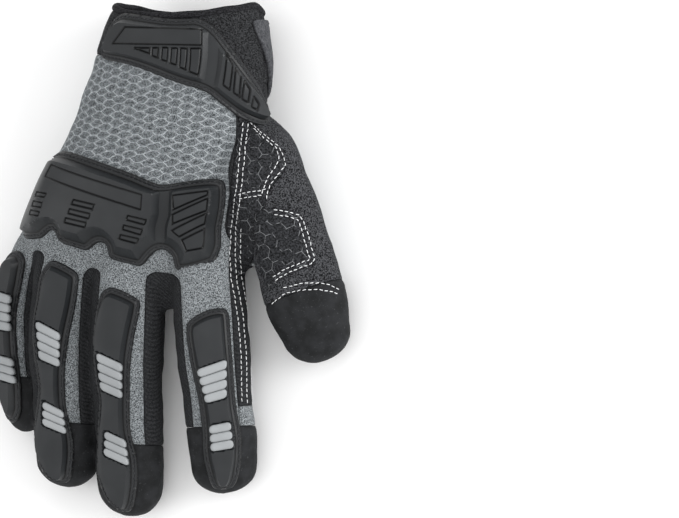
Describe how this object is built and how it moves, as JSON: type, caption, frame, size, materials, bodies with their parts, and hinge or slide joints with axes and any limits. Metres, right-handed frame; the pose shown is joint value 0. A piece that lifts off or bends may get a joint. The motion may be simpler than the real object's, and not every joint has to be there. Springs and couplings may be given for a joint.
{
  "type": "mechanic glove",
  "caption": "Right-hand work glove lying palm down, with moulded knuckle, finger and wrist guards, stitched palm pads and a wrist strap.",
  "frame": {"origin": "on the flat resting face of the knuckle pad, under the middle of the palm", "axes": "fingers along -Y, cuff mouth at +Y, thumb at +X, back of the hand at +Z"},
  "size_m": [0.1824, 0.2431, 0.054],
  "materials": {
    "mesh_grey": "padded air mesh, grey",
    "suede_grey": "soft synthetic suede, grey",
    "knit_black": "stretch knit and elastic, black",
    "grip_black": "coated grip leather with a printed hexagon pattern, black",
    "rubber_black": "moulded soft rubber, matt black",
    "rubber_grey": "moulded soft rubber ribs, light grey",
    "pad_black": "stitched palm pads, black with a printed hexagon pattern"
  },
  "bodies": {
    "root": {"tip_index": "grip_black", "tip_middle": "grip_black", "tip_ring": "grip_black", "tip_little": "grip_black", "thumb_cap": "grip_black", "cuff": "knit_black", "back_panel": "mesh_grey", "thumb_front": "suede_grey", "thumb_back": "knit_black", "palm_panel": "suede_grey", "fourchette_index_middle": "knit_black", "fourchette_middle_ring": "knit_black", "fourchette_ring_little": "knit_black", "side_index": "knit_black", "side_little": "knit_black", "knuckle_guard": "rubber_black", "wrist_guard": "rubber_black", "ribs_index_upper": "rubber_grey", "ribs_index_lower": "rubber_grey", "guard_index": "rubber_black", "ribs_middle_upper": "rubber_grey", "ribs_middle_lower": "rubber_grey", "guard_middle": "rubber_black", "ribs_ring_upper": "rubber_grey", "ribs_ring_lower": "rubber_grey", "guard_ring": "rubber_black", "ribs_little_upper": "rubber_grey", "ribs_little_lower": "rubber_grey", "guard_little": "rubber_black", "pad_knuckles": "pad_black", "pad_heel": "pad_black", "pad_thenar": "pad_black", "patch_index": "pad_black", "patch_middle": "pad_black", "patch_ring": "pad_black", "patch_little": "pad_black", "patch_thumb": "pad_black", "wrist_strap": "knit_black", "strap_tab": "rubber_black", "cuff_binding": "knit_black"}
  },
  "joints": []
}
